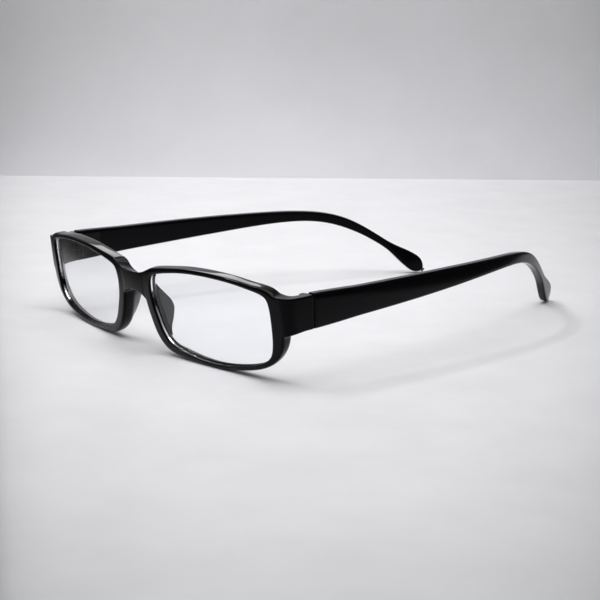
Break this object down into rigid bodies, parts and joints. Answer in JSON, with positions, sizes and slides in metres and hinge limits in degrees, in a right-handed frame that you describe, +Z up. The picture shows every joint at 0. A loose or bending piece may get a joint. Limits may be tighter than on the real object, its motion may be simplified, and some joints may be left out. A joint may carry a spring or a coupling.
{
  "type": "computer glasses",
  "caption": "Full-rim glasses with a glossy black wrapped plastic front, clear curved lenses, moulded nose pads and hinged temples that bend down and inwards at the ears.",
  "frame": {"origin": "on the surface the open glasses stand on, under the middle of their outside width and depth", "axes": "+X to the wearer's left, +Y from the front back to the temple tips, +Z up"},
  "size_m": [0.1308, 0.1567, 0.0295],
  "materials": {
    "frame_plastic": "gloss",
    "lens": "gloss",
    "hinge_metal": "satin"
  },
  "bodies": {
    "front": {"front_frame": "frame_plastic", "lens_left": "lens", "lens_right": "lens", "front_hinge_left": "hinge_metal", "front_hinge_right": "hinge_metal", "hinge_screw_left": "hinge_metal", "hinge_screw_right": "hinge_metal"},
    "arm_left": {"temple_left": "frame_plastic", "temple_hinge_left": "hinge_metal"},
    "arm_right": {"temple_right": "frame_plastic", "temple_hinge_right": "hinge_metal"}
  },
  "joints": [
    {"name": "temple_fold_left", "type": "hinge", "parent": "front", "child": "arm_left", "pos_m": [0.06075, -0.05996, 0.02109], "axis": [0, -0.0367, 0.9993], "range_deg": [0, 81.5]},
    {"name": "temple_fold_right", "type": "hinge", "parent": "front", "child": "arm_right", "pos_m": [-0.06075, -0.05996, 0.02109], "axis": [0, 0.0367, -0.9993], "range_deg": [0, 73]}
  ]
}
